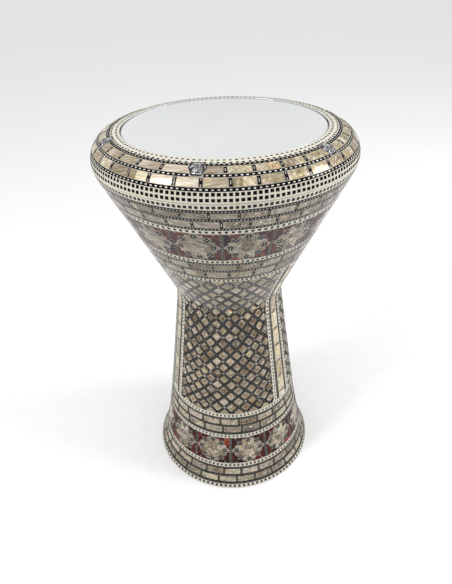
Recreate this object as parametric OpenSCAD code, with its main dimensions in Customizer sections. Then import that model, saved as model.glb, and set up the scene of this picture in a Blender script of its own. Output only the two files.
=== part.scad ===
// Darbuka: a cast-aluminium goblet drum with a tunable synthetic head and mother-of-pearl inlay.
// Frame: millimetres, origin at the centre of the foot on the floor, +Z up, the front faces -Y.
// Azimuths are degrees from the front, positive towards +X.

/* [Shell] */
// Outer radius of the foot at the floor
foot_r = 107.2; // [106:0.2:109]
// How far the foot flares out past the straight stem
foot_flare = 10.6; // [9:0.2:12]
// Height over which the flare of the foot dies away
flare_h = 26; // [22:1:30]
// Taper of the stem, radius lost per millimetre of height
stem_taper = 0.133; // [0.125:0.001:0.14]
// Height where the lines of the stem and the bowl meet
neck_z = 261; // [255:1:267]
// Taper of the bowl, radius gained per millimetre of height
bowl_taper = 0.474; // [0.465:0.001:0.485]
// Outer radius of the rim
rim_r = 137.2; // [136.6:0.2:138]
// Height of the top of the rim
rim_z = 422.2; // [422:0.1:422.4]
// Wall thickness of the casting
wall_t = 4.5; // [3.5:0.5:6]

/* [Head] */
// Outer radius of the collar that carries the head
collar_r = 103.2; // [102.8:0.1:103.4]
// Height of the bearing edge
edge_z = 449; // [448.6:0.1:449.2]
// Thickness of the film
film_t = 0.25; // [0.2:0.05:0.3]
// Outer radius of the hoop
hoop_r = 110; // [109:0.5:110.5]
// Height of the section of the hoop
hoop_h = 6; // [4:0.5:8]
// Height of the top of the hoop, where the ring presses
hoop_z = 442; // [440:0.5:443]

/* [Tension ring] */
// Inner radius of the ring at its crown
ring_inner_r = 104.5; // [104.3:0.1:104.8]
// Height of the underside of the ring
ring_z = 423; // [422.8:0.1:423.2]
// Height of the section of the ring
ring_h = 27; // [26.5:0.1:27.5]
// Width of the rounded section, from its inner edge to its widest point
ring_w = 31.7; // [31:0.1:32.5]
// Squareness of the rounded section, where 2 is an ellipse
ring_square = 2.2; // [2:0.05:2.5]

/* [Tuning bolts] */
// Radius of the bolt circle
bolt_circle_r = 119.6; // [119:0.1:120]
// Azimuth of the first bolt
bolt_az = -10.5; // [-20:0.5:20]
// Length of the shank
bolt_l = 25; // [22:1:27]
// Radius of the shank
bolt_r = 3; // [2.5:0.5:3]
// Radius of the head of the bolt
head_r = 5; // [4.5:0.25:5.5]
// Height of the head of the bolt
head_h = 6; // [5:0.5:6]
// Width across the flats of the hexagon socket
socket_af = 5; // [4:0.5:5]
// Radius of the washer
washer_r = 5.9; // [5.5:0.1:6]
// Thickness of the washer
washer_t = 1.6; // [1:0.1:2]
// Radius of the counterbore in the ring
counterbore_r = 6.2; // [6.1:0.05:6.25]
// Height of the floor of the counterbore
counterbore_z = 431.5; // [431:0.5:433]

/* [Inlay] */
// Thickness of the inlay on the castings
inlay_t = 1.5; // [1:0.1:1.5]
// Azimuth of the centre of the first pillar
pillar_az = 52.7; // [45:0.1:60]

/* [Hidden] */
$fn = 96;

// Colours
ALUMINIUM = "silver";
STEEL = "gainsboro";
FILM = "whitesmoke";
CREAM = "beige";
BLACK = "black";
PEARL = "tan";
TORTOISESHELL = "maroon";
LATTICE = "darkkhaki";

// Heights where the inlay bands of the foot, the neck and the bowl start, from the floor up.
// Each run is dots, strip, pearl, strip, pearl, strip, dots, stars, then the same in reverse.
FOOT_Z = [0.8, 5, 8.4, 15.4, 18.8, 26.4, 29.6, 35, 76.4, 81.4, 85.4, 94, 97.4, 105.6, 108.8, 114.2];
BOWL_Z = [315.6, 319.6, 322.4, 331.6, 334.4, 342.4, 345.4, 350, 387.6, 392.2, 395.2, 403.2, 406.4, 413,
    416.6, rim_z];
// Heights on the rounded section of the ring where its bands start, from its underside up
RING_Z = [ring_z, 433.1, 436, 442.8, 444.6, 448.4, 449.2, ring_z + ring_h];
ring_bands = len(RING_Z) - 1;
// The lowest of them that the frames round the bolts reach
framed_band = 3;

// Bolts round the ring, and panels and pillars round the neck
bolt_count = 6;
panel_count = 3;
// Longest step between two points of the outline of the shell
step_max = 9;
// Rounding where the stem meets the bowl, and where the bowl meets the rim
neck_round = 2;
rim_round = 1;
// Steps in the rounded section of one ring band
ring_steps = 3;
// Height where the neck starts, above the last band of the foot
neck_start_z = FOOT_Z[len(FOOT_Z) - 1];

// Inner side of the collar, the top of its edge, and the underside of the thick rim
bore_r = 97.5;
edge_round = 1.5;
edge_chamfer_z = 442;
shelf_z = 411;
shelf_foot_z = 392;
// Clearance between the film and the collar, and the turned-in edge under the hoop
film_gap = 0.3;
film_lift = 0.1;
film_fold = 2.5;
// Clearance round the hoop inside the ring, and the chamfers of the hoop
hoop_gap = 0.6;
hoop_chamfer = 0.5;
// Thread engagement bore in the rim: the running fit stands for the thread
thread_gap = 0.05;
thread_depth = 17.7;
// Clearance hole for the shank in the ring and in the washer
ring_hole_r = 3.3;
washer_hole_r = 3.2;
socket_depth = 3;
head_chamfer = 0.6;
tip_chamfer = 0.8;
// Hexagon frame round each bolt: half width between corners and between flats, and bar width
frame_half_w = 8.3;
frame_half_d = 7.7;
frame_bar = 1.4;
// Half angles of the bars of a pillar, from its centre outwards
pillar_pearl_a = 4.9;
pillar_strip_a = 7.9;
pillar_dot_a = 11.6;

bolt_head_z = counterbore_z + washer_t;
crown_r = ring_inner_r + 0.6;
film_r = collar_r + film_gap;
film_z = edge_z + film_lift;
cut_h = 60;

function soft_max(a, b, s) = (a + b) / 2 + sqrt(pow((a - b) / 2, 2) + s * s);
function soft_min(a, b, s) = (a + b) / 2 - sqrt(pow((a - b) / 2, 2) + s * s);
function stem_line(z) = foot_r - foot_flare * (1 - exp(-z / flare_h)) - stem_taper * z;
function bowl_line(z) = stem_line(neck_z) + bowl_taper * (z - neck_z);

// Outer radius of the inlaid shell at a height
function shell_r(z) = soft_min(soft_max(stem_line(z), bowl_line(z), neck_round), rim_r, rim_round);

// Equal steps from z1 to z2, without z2
function steps(z1, z2) =
    let (n = ceil((z2 - z1) / step_max))
    [for (i = [0:n - 1]) z1 + (z2 - z1) * i / n];
function joined(lists) = [for (list = lists) for (z = list) z];
function reversed(list) = [for (i = [len(list) - 1:-1:0]) list[i]];
function runs(levels) = joined([for (i = [0:len(levels) - 2]) steps(levels[i], levels[i + 1])]);

// Every height where the casting has a point, so that it meets the inlay face to face
CASTING_Z = concat(runs(concat(FOOT_Z, BOWL_Z)), [rim_z]);

// Points of the outer side of the shell from z1 to z2, moved in by an amount
function shell_side(z1, z2, inset) =
    [for (z = concat(steps(z1, z2), [z2])) [shell_r(z) - inset, z]];

// The rounded section of the ring: angle at a height, then the point at an angle
function ring_angle(z) = asin(min(1, pow((z - ring_z) / ring_h, ring_square / 2)));
function ring_point(a, inset) = [
    crown_r + (ring_w - inset) * pow(cos(a), 2 / ring_square),
    ring_z + (ring_h - inset) * pow(sin(a), 2 / ring_square)];
function ring_angles(i) =
    let (a1 = ring_angle(RING_Z[i]), a2 = ring_angle(RING_Z[i + 1]))
    [for (k = [0:ring_steps - 1]) a1 + (a2 - a1) * k / ring_steps];

// Points of that section from the start of band i to the start of band j
function ring_side(i, j, inset) =
    [for (a = concat(joined([for (k = [i:j - 1]) ring_angles(k)]), [ring_angle(RING_Z[j])]))
        ring_point(a, inset)];

// Turns what faces +X so that it faces an azimuth
module at_azimuth(a) {
    rotate([0, 0, a - 90]) children();
}

module at_bolt(i) {
    at_azimuth(bolt_az + (i - 1) * 360 / bolt_count) translate([bolt_circle_r, 0, 0]) children();
}

// A band of inlay on the shell between two heights
module shell_band(z1, z2) {
    rotate_extrude() polygon(concat(shell_side(z1, z2, 0), reversed(shell_side(z1, z2, inlay_t))));
}

// A part of such a band, from one azimuth to another
module shell_sector(z1, z2, a1, a2) {
    rotate([0, 0, a1 - 90])
        rotate_extrude(angle = a2 - a1)
            polygon(concat(shell_side(z1, z2, 0), reversed(shell_side(z1, z2, inlay_t))));
}

// The outline of the frame round a bolt, corners along the ring
module frame_outline(inset) {
    w = frame_half_w - inset;
    d = frame_half_d - inset;
    polygon([[0, -w], [d, -w / 2], [d, w / 2], [0, w], [-d, w / 2], [-d, -w / 2]]);
}

// Full-height prisms through the ring at every bolt
module frame_prisms(inset) {
    for (i = [1:bolt_count])
        at_bolt(i) translate([0, 0, ring_z]) linear_extrude(cut_h) frame_outline(inset);
}

// Inlay on the ring from the start of band i to the start of band j
module ring_band(i, j) {
    rotate_extrude() polygon(concat(ring_side(i, j, 0), reversed(ring_side(i, j, inlay_t))));
}

// Cast shell: foot, stem, neck, bowl, thick rim and the collar with its bearing edge
module shell() {
    outer = [for (z = CASTING_Z) [shell_r(z) - inlay_t, z]];
    inner = [for (z = reversed(CASTING_Z)) if (z < shelf_foot_z) [shell_r(z) - inlay_t - wall_t, z]];
    edge = [for (a = [0:22.5:90])
        [collar_r - edge_round * (1 - cos(a)), edge_z - edge_round * (1 - sin(a))]];
    color(ALUMINIUM)
        difference() {
            rotate_extrude()
                polygon(concat(
                    [[shell_r(0), 0], [shell_r(FOOT_Z[0]), FOOT_Z[0]]],
                    outer,
                    [[collar_r, rim_z]],
                    edge,
                    [[bore_r, edge_chamfer_z], [bore_r, shelf_z],
                     [shell_r(shelf_foot_z) - inlay_t - wall_t, shelf_foot_z]],
                    inner,
                    [[shell_r(0) - inlay_t - wall_t, 0]]));
            for (i = [1:bolt_count])
                at_bolt(i)
                    translate([0, 0, rim_z - thread_depth])
                        cylinder(h = thread_depth + 1, r = bolt_r + thread_gap);
        }
}

// Film: a flat playing surface, turned over the edge and down inside the hoop
module head_film() {
    r = edge_round + film_gap / 2;
    corner = [film_r - r, film_z - r];
    under = [for (a = [90:-22.5:0]) corner + r * [cos(a), sin(a)]];
    top = [for (a = [0:22.5:90]) corner + (r + film_t) * [cos(a), sin(a)]];
    foot_z = hoop_z - hoop_h;
    color(FILM)
        rotate_extrude()
            polygon(concat(
                [[0, film_z]],
                under,
                [[film_r, foot_z - film_t], [film_r + film_t + film_fold, foot_z - film_t],
                 [film_r + film_t + film_fold, foot_z], [film_r + film_t, foot_z]],
                top,
                [[0, film_z + film_t]]));
}

// Hoop bonded round the edge of the film
module head_hoop() {
    c = hoop_chamfer;
    inner = film_r + film_t;
    foot_z = hoop_z - hoop_h;
    color(ALUMINIUM)
        rotate_extrude()
            polygon([[inner, foot_z], [hoop_r - c, foot_z], [hoop_r, foot_z + c],
                     [hoop_r, hoop_z - c], [hoop_r - c, hoop_z], [inner, hoop_z]]);
}

// The bare casting of the ring, without its holes
module ring_casting() {
    rotate_extrude()
        polygon(concat(
            [[hoop_r + hoop_gap, hoop_z], [hoop_r + hoop_gap, ring_z]],
            ring_side(0, ring_bands, inlay_t),
            [ring_point(90, 0), [ring_inner_r, ring_z + ring_h], [ring_inner_r, hoop_z]]));
}

// Cast ring that pulls the hoop down: a land stands up to the surface inside each bolt frame,
// and a counterbored hole goes through it
module tension_ring() {
    color(ALUMINIUM)
        difference() {
            union() {
                ring_casting();
                intersection() {
                    ring_band(framed_band, ring_bands);
                    frame_prisms(frame_bar);
                }
            }
            for (i = [1:bolt_count])
                at_bolt(i) {
                    translate([0, 0, ring_z - 1]) cylinder(h = cut_h, r = ring_hole_r);
                    translate([0, 0, counterbore_z]) cylinder(h = cut_h, r = counterbore_r);
                }
        }
}

module washer(i) {
    color(STEEL)
        at_bolt(i)
            translate([0, 0, counterbore_z])
                difference() {
                    cylinder(h = washer_t, r = washer_r);
                    translate([0, 0, -1]) cylinder(h = washer_t + 2, r = washer_hole_r);
                }
}

// Hexagon socket cap screw
module tuning_bolt(i) {
    color(STEEL)
        at_bolt(i)
            translate([0, 0, bolt_head_z])
                difference() {
                    rotate_extrude()
                        polygon([[0, -bolt_l], [bolt_r - tip_chamfer, -bolt_l],
                                 [bolt_r, tip_chamfer - bolt_l], [bolt_r, 0], [head_r, 0],
                                 [head_r, head_h - head_chamfer], [head_r - head_chamfer, head_h],
                                 [0, head_h]]);
                    translate([0, 0, head_h - socket_depth])
                        cylinder(h = socket_depth + 1, r = socket_af / sqrt(3), $fn = 6);
                }
}

// Black hexagons round the counterbores, following the top of the ring
module bolt_frames() {
    color(BLACK)
        intersection() {
            ring_band(framed_band, ring_bands);
            difference() {
                frame_prisms(0);
                frame_prisms(frame_bar);
            }
        }
}

module ring_plain_inlay(i, colour) {
    color(colour) ring_band(i, i + 1);
}

// The same, cut round the bolts
module ring_inlay(i, colour) {
    color(colour)
        difference() {
            ring_band(i, i + 1);
            frame_prisms(0);
        }
}

module foot_inlay(i, colour) {
    color(colour) shell_band(FOOT_Z[i], FOOT_Z[i + 1]);
}

module bowl_inlay(i, colour) {
    color(colour) shell_band(BOWL_Z[i], BOWL_Z[i + 1]);
}

// Lattice panel between two pillars
module neck_panel(i) {
    middle = pillar_az + (i - 1) * 360 / panel_count;
    color(LATTICE)
        shell_sector(neck_start_z, BOWL_Z[0], middle + pillar_dot_a,
            middle + 360 / panel_count - pillar_dot_a);
}

// One bar of every pillar, from one half angle to another, on one side
module pillar_bars(a1, a2) {
    for (i = [0:panel_count - 1])
        shell_sector(neck_start_z, BOWL_Z[0], pillar_az + i * 360 / panel_count + a1,
            pillar_az + i * 360 / panel_count + a2);
}

module pillar_pearl() {
    color(PEARL) pillar_bars(-pillar_pearl_a, pillar_pearl_a);
}

module pillar_strips() {
    color(BLACK) {
        pillar_bars(pillar_pearl_a, pillar_strip_a);
        pillar_bars(-pillar_strip_a, -pillar_pearl_a);
    }
}

module pillar_dot_strips() {
    color(CREAM) {
        pillar_bars(pillar_strip_a, pillar_dot_a);
        pillar_bars(-pillar_dot_a, -pillar_strip_a);
    }
}

shell();
head_film();
head_hoop();
tension_ring();
washer(1);  // washer_1
washer(2);  // washer_2
washer(3);  // washer_3
washer(4);  // washer_4
washer(5);  // washer_5
washer(6);  // washer_6
tuning_bolt(1);  // tuning_bolt_1
tuning_bolt(2);  // tuning_bolt_2
tuning_bolt(3);  // tuning_bolt_3
tuning_bolt(4);  // tuning_bolt_4
tuning_bolt(5);  // tuning_bolt_5
tuning_bolt(6);  // tuning_bolt_6
ring_plain_inlay(0, CREAM);  // ring_square_band
ring_plain_inlay(1, BLACK);  // ring_outer_strip
ring_plain_inlay(2, PEARL);  // ring_pearl_row_2
ring_inlay(3, BLACK);  // ring_middle_strip
ring_inlay(4, PEARL);  // ring_pearl_row_1
ring_inlay(5, BLACK);  // ring_inner_strip
ring_inlay(6, CREAM);  // ring_dot_band
bolt_frames();
foot_inlay(0, CREAM);  // dot_band_1
foot_inlay(6, CREAM);  // dot_band_2
foot_inlay(8, CREAM);  // dot_band_3
foot_inlay(14, CREAM);  // dot_band_4
bowl_inlay(0, CREAM);  // dot_band_5
bowl_inlay(6, CREAM);  // dot_band_6
bowl_inlay(8, CREAM);  // dot_band_7
bowl_inlay(14, CREAM);  // dot_band_8
for (i = [1, 3, 5]) foot_inlay(i, BLACK);  // foot_strips
for (i = [9, 11, 13]) foot_inlay(i, BLACK);  // ankle_strips
for (i = [1, 3, 5]) bowl_inlay(i, BLACK);  // waist_strips
for (i = [9, 11, 13]) bowl_inlay(i, BLACK);  // rim_strips
foot_inlay(2, PEARL);  // pearl_row_1
foot_inlay(4, PEARL);  // pearl_row_2
foot_inlay(10, PEARL);  // pearl_row_3
foot_inlay(12, PEARL);  // pearl_row_4
bowl_inlay(2, PEARL);  // pearl_row_5
bowl_inlay(4, PEARL);  // pearl_row_6
bowl_inlay(10, PEARL);  // pearl_row_7
bowl_inlay(12, PEARL);  // pearl_row_8
foot_inlay(7, TORTOISESHELL);  // star_band_foot
bowl_inlay(7, TORTOISESHELL);  // star_band_bowl
neck_panel(1);  // neck_panel_1
neck_panel(2);  // neck_panel_2
neck_panel(3);  // neck_panel_3
pillar_pearl();
pillar_strips();
pillar_dot_strips();
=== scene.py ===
"""Looks of the darbuka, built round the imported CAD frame.

Every band of inlay is modelled as real tiles, strips and dots. They are laid out on the unrolled surface
of the drum, where u is the azimuth in degrees and v is the length along the outline in millimetres, and
then placed on the drum. Lengths are in millimetres until a mesh is made. Solids draw their tint at random,
so the order in which they are made matters.
"""
import math
import random
from math import ceil, cos, floor, hypot, radians, sin

import bpy
import numpy as np
from mathutils import Matrix, Vector

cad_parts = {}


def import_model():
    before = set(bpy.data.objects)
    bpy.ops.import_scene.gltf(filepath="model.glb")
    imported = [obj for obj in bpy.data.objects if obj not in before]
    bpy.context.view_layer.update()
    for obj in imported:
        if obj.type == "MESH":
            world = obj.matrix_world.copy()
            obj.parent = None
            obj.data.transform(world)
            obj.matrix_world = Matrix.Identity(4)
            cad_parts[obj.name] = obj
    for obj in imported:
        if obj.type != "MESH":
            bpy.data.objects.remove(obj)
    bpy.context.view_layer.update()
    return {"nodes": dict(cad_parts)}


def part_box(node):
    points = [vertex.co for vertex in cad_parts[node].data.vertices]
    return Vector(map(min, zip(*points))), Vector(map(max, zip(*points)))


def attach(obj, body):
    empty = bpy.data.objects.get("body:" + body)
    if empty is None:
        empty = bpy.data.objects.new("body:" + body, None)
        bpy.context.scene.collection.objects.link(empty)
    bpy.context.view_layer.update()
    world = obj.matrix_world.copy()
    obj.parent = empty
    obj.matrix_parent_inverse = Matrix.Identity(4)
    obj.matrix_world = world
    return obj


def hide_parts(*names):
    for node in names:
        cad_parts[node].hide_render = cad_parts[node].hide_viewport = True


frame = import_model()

MM = 0.001
NODES = frame["nodes"]

# Bands from the bottom up. A strip takes the height between the band below it and the band above it.
FOOT_BANDS = ["dot_band_1", "foot_strips", "pearl_row_1", "foot_strips", "pearl_row_2", "foot_strips",
              "dot_band_2", "star_band_foot", "dot_band_3", "ankle_strips", "pearl_row_3", "ankle_strips",
              "pearl_row_4", "ankle_strips", "dot_band_4"]
BOWL_BANDS = ["dot_band_5", "waist_strips", "pearl_row_5", "waist_strips", "pearl_row_6", "waist_strips",
              "dot_band_6", "star_band_bowl", "dot_band_7", "rim_strips", "pearl_row_7", "rim_strips",
              "pearl_row_8", "rim_strips", "dot_band_8"]
RING_BANDS = ["ring_square_band", "ring_outer_strip", "ring_pearl_row_2", "ring_middle_strip",
              "ring_pearl_row_1", "ring_inner_strip", "ring_dot_band"]
NECK_NODES = ["neck_panel_1", "neck_panel_2", "neck_panel_3", "pillar_pearl", "pillar_strips",
              "pillar_dot_strips"]

# Rounded section of the tension ring, as in CAD: how square it is, and the radius of its crown
RING_SQUARE = 2.2
RING_CROWN_R = 105.1

# Bolts, and half the size of the black frame of each, round the drum and across the ring
BOLT_COUNT = 6
BOLT_AZ = -10.5
BOLT_CIRCLE_R = 119.6
FRAME_HALF_W = 8.3
FRAME_HALF_D = 7.7

# Pillars of the neck: the first one's azimuth, and half angles from the centre outwards
PILLAR_COUNT = 3
PILLAR_AZ = 52.7
PILLAR_PEARL_A = 4.9
PILLAR_STRIP_A = 7.9
PILLAR_DOT_A = 11.6

# Depth of the tops of the layers under the lacquer's surface, and how deep a tile and a band go
FILL_TOP = -0.12
PLATE_TOP = -0.09
LINE_TOP = -0.065
TILE_TOP = -0.04
RING_BAR_TOP = -0.035
MOSAIC_TOP = -0.035
BAR_TOP = -0.03
DOT_TOP = -0.01
TILE_DEPTH = 0.5
BAND_DEPTH = 1.3

# Longest facet of a tile round the drum and along its outline, which bends sharply at the top of the neck
FACET_U = 2.5
FACET_V = 3.0
NECK_FACET_V = 1.5

FULL_TURN = 360.0


# ---- flat polygons

def rectangle(u1, u2, v1, v2):
    """A rectangle from its sides. The corners of every polygon run anticlockwise."""
    return [(u1, v1), (u2, v1), (u2, v2), (u1, v2)]


def box(half_w, half_h):
    return rectangle(-half_w, half_w, -half_h, half_h)


def diamond(half_w, half_h):
    return [(-half_w, 0), (0, -half_h), (half_w, 0), (0, half_h)]


def turned(polygon, degrees):
    c, s = cos(radians(degrees)), sin(radians(degrees))
    return [(x * c - y * s, x * s + y * c) for x, y in polygon]


def moved(polygon, dx, dy):
    return [(x + dx, y + dy) for x, y in polygon]


def mirrored(polygon, x_sign, y_sign):
    flipped = [(x * x_sign, y * y_sign) for x, y in polygon]
    return flipped if x_sign * y_sign > 0 else flipped[::-1]


def area(polygon):
    pairs = zip(polygon, polygon[1:] + polygon[:1])
    return sum(p[0] * q[1] - q[0] * p[1] for p, q in pairs) / 2


def cut(polygon, side):
    """The two parts of a convex polygon, where side(point) is negative and where it is positive."""
    below, above = [], []
    for p, q in zip(polygon, polygon[1:] + polygon[:1]):
        a, b = side(p), side(q)
        a = 0 if abs(a) < 1e-7 else a
        b = 0 if abs(b) < 1e-7 else b
        if a <= 0:
            below.append(p)
        if a >= 0:
            above.append(p)
        if a * b < 0:
            t = a / (a - b)
            m = (p[0] + (q[0] - p[0]) * t, p[1] + (q[1] - p[1]) * t)
            below.append(m)
            above.append(m)
    return [part if len(part) > 2 and area(part) > 1e-6 else None for part in (below, above)]


def edge_side(p, q):
    """How far a point is to the right of the line from p to q, as a function."""
    dx, dy = q[0] - p[0], q[1] - p[1]
    length = hypot(dx, dy)
    return lambda point: ((point[0] - p[0]) * dy - (point[1] - p[1]) * dx) / length


def without(polygon, hole):
    """Convex parts of a convex polygon that lie outside a convex hole."""
    outside, rest = [], polygon
    for p, q in zip(hole, hole[1:] + hole[:1]):
        if rest is None:
            break
        rest, out = cut(rest, edge_side(p, q))
        if out:
            outside.append(out)
    return outside if rest else [polygon]


def within(polygon, window):
    """The part of a convex polygon inside a convex window, or None."""
    for p, q in zip(window, window[1:] + window[:1]):
        polygon = cut(polygon, edge_side(p, q))[0]
        if polygon is None:
            return None
    return polygon


def inset(polygon, distance):
    """A convex polygon with every side moved in, or out if the distance is negative."""
    grown = []
    count = len(polygon)
    for i in range(count):
        a, b, c = polygon[i - 1], polygon[i], polygon[(i + 1) % count]
        d1 = Vector((b[0] - a[0], b[1] - a[1])).normalized()
        d2 = Vector((c[0] - b[0], c[1] - b[1])).normalized()
        n1, n2 = Vector((-d1.y, d1.x)), Vector((-d2.y, d2.x))
        move = (n1 + n2) * (distance / (1 + n1.dot(n2)))
        grown.append((b[0] + move.x, b[1] + move.y))
    return grown


def facets(polygon):
    """A convex polygon cut along the grid of facets, so that it can follow the drum."""
    cells = [polygon]
    for axis, step in ((0, FACET_U), (1, FACET_V)):
        low = min(p[axis] for p in polygon)
        high = max(p[axis] for p in polygon)
        if high - low < step * 0.7:
            continue
        for k in range(floor(low / step) + 1, ceil(high / step)):
            parts = [cut(cell, lambda p: p[axis] - k * step) for cell in cells]
            cells = [part for pair in parts for part in pair if part]
    return cells


# ---- skins

class Skin:
    """A surface of revolution, unrolled: an outline from the bottom up, and its outward normals."""

    def __init__(self, body, r, z):
        self.body = body
        self.r = np.asarray(r, float)
        self.z = np.asarray(z, float)
        self.v = np.concatenate([[0], np.cumsum(np.hypot(np.diff(self.r), np.diff(self.z)))])
        dr, dz = np.gradient(self.r, self.v), np.gradient(self.z, self.v)
        self.normal_r = dz / np.hypot(dr, dz)
        self.normal_z = -dr / np.hypot(dr, dz)

    def v_at(self, z):
        return float(np.interp(z, self.z, self.v))

    def radius(self, v):
        return float(np.interp(v, self.v, self.r))

    def per_degree(self, v):
        """Millimetres round the drum in one degree."""
        return radians(1) * self.radius(v)

    def normals(self, flat):
        angle = np.radians(flat[:, 0])
        nr = np.interp(flat[:, 1], self.v, self.normal_r)
        nz = np.interp(flat[:, 1], self.v, self.normal_z)
        return np.column_stack([nr * np.sin(angle), -nr * np.cos(angle), nz])

    def points(self, flat, height):
        angle = np.radians(flat[:, 0])
        r = np.interp(flat[:, 1], self.v, self.r)
        z = np.interp(flat[:, 1], self.v, self.z)
        on_skin = np.column_stack([r * np.sin(angle), -r * np.cos(angle), z])
        return on_skin + self.normals(flat) * height

    def band(self, low_z, high_z):
        return self.v_at(low_z), self.v_at(high_z)


def node_levels(node):
    low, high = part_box(node)
    return low.z / MM, high.z / MM


def outline_points(node):
    """Widest radius at each height of a CAD node of inlay, where its outer points lie."""
    widest = {}
    for vertex in NODES[node].data.vertices:
        r, z = hypot(vertex.co.x, vertex.co.y) / MM, vertex.co.z / MM
        if r > widest.get(round(z, 1), (0, 0))[0]:
            widest[round(z, 1)] = (r, z)
    return widest


def shell_skin(step=0.5):
    """The outside of the shell, through the outer points of its CAD inlay, as one smooth curve."""
    found = {}
    for node in FOOT_BANDS + NECK_NODES + BOWL_BANDS:
        for level, (r, z) in outline_points(node).items():
            if r > found.get(level, (0, 0))[0]:
                found[level] = (r, z)
    points = np.array([found[level] for level in sorted(found)])
    r, z = points[:, 0], points[:, 1]
    slope = np.gradient(r, z)
    heights = np.append(np.arange(z[0], z[-1], step), z[-1])
    i = np.clip(np.searchsorted(z, heights, side="right") - 1, 0, len(z) - 2)
    gap = z[i + 1] - z[i]
    t = (heights - z[i]) / gap
    smooth = ((2 * t ** 3 - 3 * t ** 2 + 1) * r[i] + (t ** 3 - 2 * t ** 2 + t) * gap * slope[i]
              + (3 * t ** 2 - 2 * t ** 3) * r[i + 1] + (t ** 3 - t ** 2) * gap * slope[i + 1])
    return Skin("shell", smooth, heights)


def ring_skin(steps=240):
    """The rounded outside of the tension ring, a superellipse from its widest point to its crown."""
    low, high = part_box("ring_square_band")[0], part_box("tension_ring")[1]
    ring_z, crown_z = low.z / MM, high.z / MM
    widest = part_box("ring_square_band")[1].x / MM
    angle = np.linspace(0, math.pi / 2, steps + 1)
    power = 2 / RING_SQUARE
    r = RING_CROWN_R + (widest - RING_CROWN_R) * np.cos(angle).clip(0) ** power
    z = ring_z + (crown_z - ring_z) * np.sin(angle) ** power
    return Skin("tension_ring", r, z)


SHELL = shell_skin()
RING = ring_skin()


# ---- tiles on a skin

class Layer:
    """Thin closed solids on a skin, gathered into one mesh."""

    def __init__(self, skin, top, depth=TILE_DEPTH):
        self.skin = skin
        self.top = top
        self.depth = depth
        self.flat = []
        self.tint = []
        self.faces = []
        self.walls = []

    def solid(self, cells, tint=None):
        """One solid made of cells that share their corners. Its tint is three random numbers."""
        tint = tint or (random.random(), random.random(), random.random())
        index, edges = {}, set()
        for cell in cells:
            corners = []
            for u, v in cell:
                key = (round(u, 4) % FULL_TURN, round(v, 4))
                if key not in index:
                    index[key] = len(self.flat)
                    self.flat.append((u, v))
                    self.tint.append(tint)
                if index[key] not in corners:
                    corners.append(index[key])
            if len(corners) > 2:
                self.faces.append(corners)
                edges.update(zip(corners, corners[1:] + corners[:1]))
        self.walls += sorted(edge for edge in edges if edge[::-1] not in edges)

    def tile(self, polygon, tint=None):
        self.solid(facets(polygon), tint)

    def ring(self, v1, v2, u1=lambda v: 0.0, u2=lambda v: FULL_TURN, step=FACET_V):
        """A band between two lengths, whose sides may depend on the length along the outline."""
        columns = ceil((u2(v1) - u1(v1)) / FACET_U)
        rows = ceil((v2 - v1) / step)
        heights = [v1 + (v2 - v1) * j / rows for j in range(rows + 1)]

        def corner(i, v):
            return u1(v) + (u2(v) - u1(v)) * i / columns, v

        self.solid([[corner(i, a), corner(i + 1, a), corner(i + 1, b), corner(i, b)]
                    for a, b in zip(heights, heights[1:]) for i in range(columns)])

    def corner_normals(self, flat, points, walls):
        """Smooth normals on the top and underneath, and flat ones on the walls."""
        up = self.skin.normals(flat)
        top = up[[i for face in self.faces for i in face]]
        under = -up[[i for face in self.faces for i in reversed(face)]]
        p, q, r, _ = (points[[wall[k] for wall in walls]] for k in range(4))
        across = np.cross(q - p, r - q)
        across /= np.maximum(np.linalg.norm(across, axis=1, keepdims=True), 1e-9)
        return np.vstack([top, under, np.repeat(across, 4, axis=0)])

    def mesh(self, name):
        """All the solids as one mesh, with the tint and the flat place of every point."""
        flat, tint = np.array(self.flat), np.array(self.tint)
        count = len(flat)
        points = np.vstack([self.skin.points(flat, self.top), self.skin.points(flat, self.top - self.depth)])
        under = [[i + count for i in reversed(face)] for face in self.faces]
        walls = [[b, a, a + count, b + count] for a, b in self.walls]
        mesh = bpy.data.meshes.new(name)
        mesh.from_pydata((points * MM).tolist(), [], self.faces + under + walls)
        mesh.shade_smooth()
        mesh.normals_split_custom_set(self.corner_normals(flat, points, walls).tolist())
        on_drum = np.radians(flat[:, 0]) * np.interp(flat[:, 1], self.skin.v, self.skin.r)
        self.note(mesh, "tint", tint)
        self.note(mesh, "flat", np.column_stack([on_drum, flat[:, 1], tint[:, 2] * 100]))
        return mesh

    def build(self, name, material, slot, *replaced):
        """A piece of all the solids, which rides on the skin's body and hides the nodes it replaces."""
        body = self.skin.body
        mesh = self.mesh(name)
        mesh.materials.append(material)
        piece = bpy.data.objects.new(name, mesh)
        bpy.context.scene.collection.objects.link(piece)
        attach(piece, body)
        if replaced:
            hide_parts(*replaced)

    @staticmethod
    def note(mesh, name, values):
        """Keeps a vector for every point, the same on the top and the underside."""
        attribute = mesh.attributes.new(name, "FLOAT_VECTOR", "POINT")
        attribute.data.foreach_set("vector", np.vstack([values, values]).astype(np.float32).ravel())


def base(skin, top=FILL_TOP):
    """A deeper layer, for what lies under the tiles of a whole band."""
    return Layer(skin, top, BAND_DEPTH)


# ---- finishes

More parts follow.
